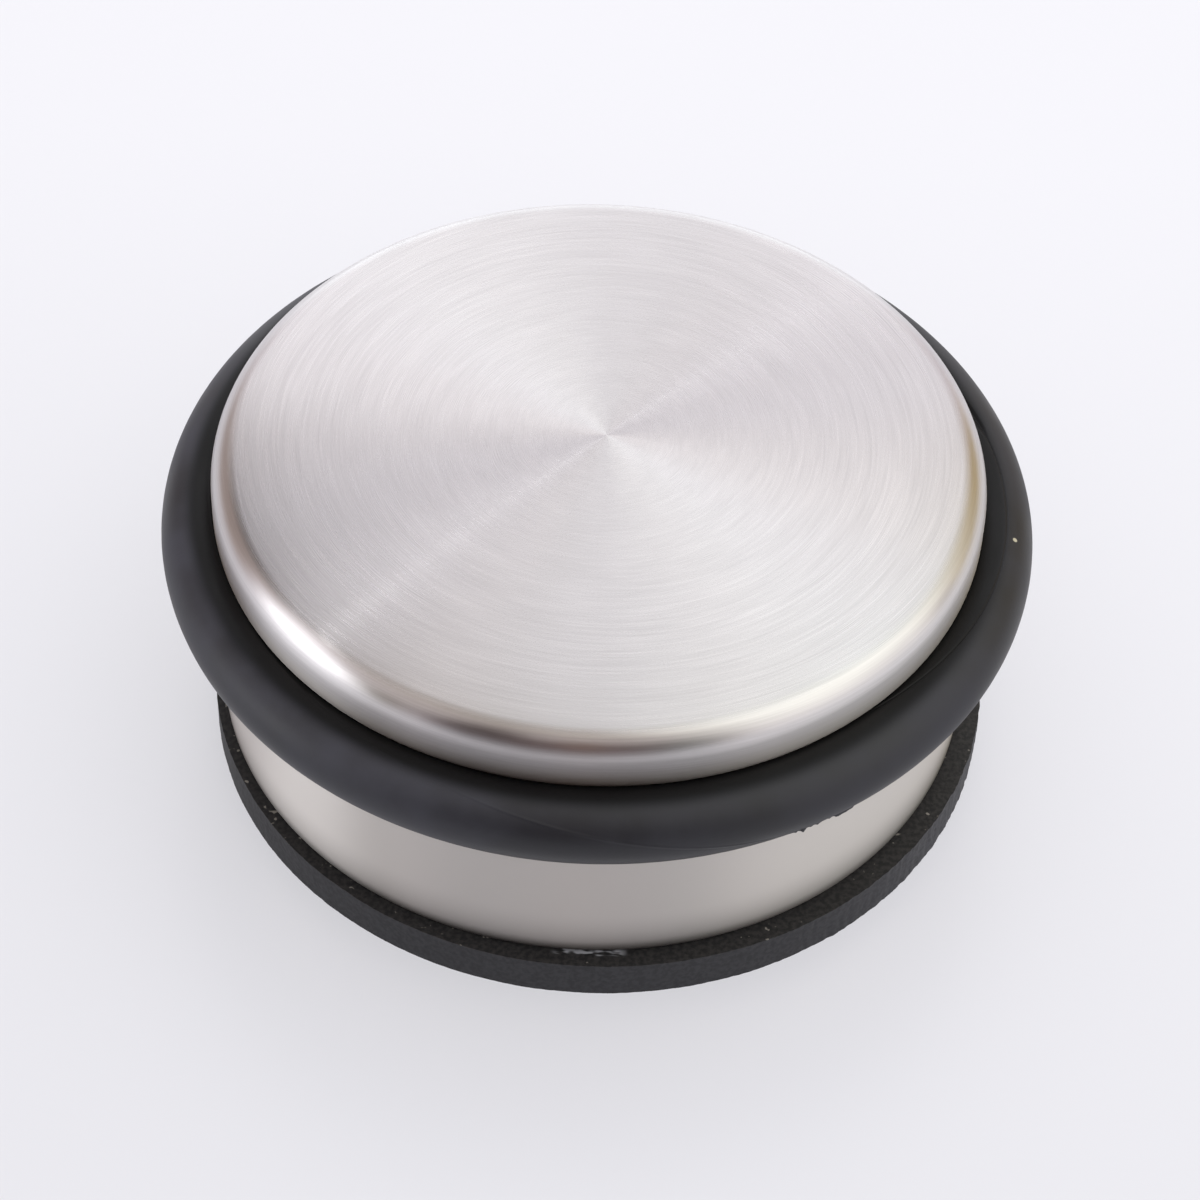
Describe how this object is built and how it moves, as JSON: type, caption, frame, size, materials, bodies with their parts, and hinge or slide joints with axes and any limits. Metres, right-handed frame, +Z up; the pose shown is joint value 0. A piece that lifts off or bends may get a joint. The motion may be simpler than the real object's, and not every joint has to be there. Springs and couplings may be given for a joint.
{
  "type": "door stop",
  "caption": "Free-standing round door stop: a heavy brushed steel puck with a black rubber ring round its side for the door to touch, standing on a black rubber disc.",
  "frame": {"origin": "centre of the rubber disc's underside, on the floor", "axes": "+Z up along the puck's axis; the part is round, so +X and +Y are free"},
  "size_m": [0.1, 0.1, 0.0405],
  "materials": {
    "brushed_cover": "satin stainless steel, brushed in circles on top and along the wall",
    "ring_rubber": "matte black moulded rubber",
    "casting": "as cast",
    "foam": "thin closed-cell foam",
    "zinc_plated": "bright zinc plating",
    "tape": "double-sided foam tape",
    "pad_rubber": "matte black sheet rubber with a die-cut edge"
  },
  "bodies": {
    "puck": {"cover_shell": "brushed_cover", "iron_weight": "casting", "anti_rattle_disc": "foam", "base_plate": "zinc_plated", "plate_screws": "zinc_plated", "adhesive_disc": "tape", "base_pad": "pad_rubber"},
    "ring": {"buffer_ring": "ring_rubber"}
  },
  "joints": [
    {"name": "ring_turn", "type": "hinge", "parent": "puck", "child": "ring", "pos_m": [0, 0, 0.03], "axis": [0, 0, 1], "continuous": true}
  ]
}
